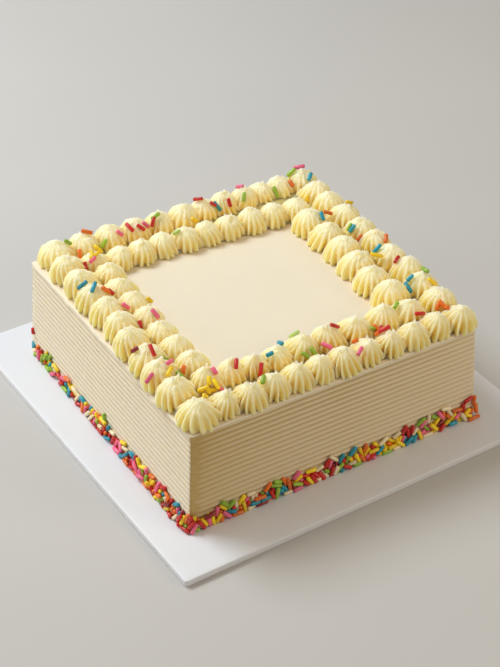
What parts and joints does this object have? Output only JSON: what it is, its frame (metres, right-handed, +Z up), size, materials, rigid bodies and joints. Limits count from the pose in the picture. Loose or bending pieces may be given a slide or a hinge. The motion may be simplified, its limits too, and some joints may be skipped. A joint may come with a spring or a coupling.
{
  "type": "ribbon cake",
  "caption": "Square iced cake on a thin card board, with combed sides, a double border of piped rosettes and sugar strands round the foot and over the piping.",
  "frame": {"origin": "middle of the board's underside", "axes": "+Z up; the cake's sides run along X and Y, and -Y is the front"},
  "size_m": [0.2684, 0.2732, 0.0905],
  "materials": {
    "board_card": "smooth white coated card, satin",
    "cake_icing": "pale ivory buttercream, smooth on top and combed on the sides, soft satin",
    "piped_icing": "pale ivory buttercream piped through a star nozzle, soft satin",
    "sugar_strands": "pressed sugar strands with a thin shine, in red, orange, yellow, green, teal, pink and cream"
  },
  "bodies": {
    "root": {"cake_board": "board_card", "iced_cake": "cake_icing", "outer_front": "piped_icing", "outer_right": "piped_icing", "outer_back": "piped_icing", "outer_left": "piped_icing", "inner_front": "piped_icing", "inner_right": "piped_icing", "inner_back": "piped_icing", "inner_left": "piped_icing"}
  },
  "joints": []
}
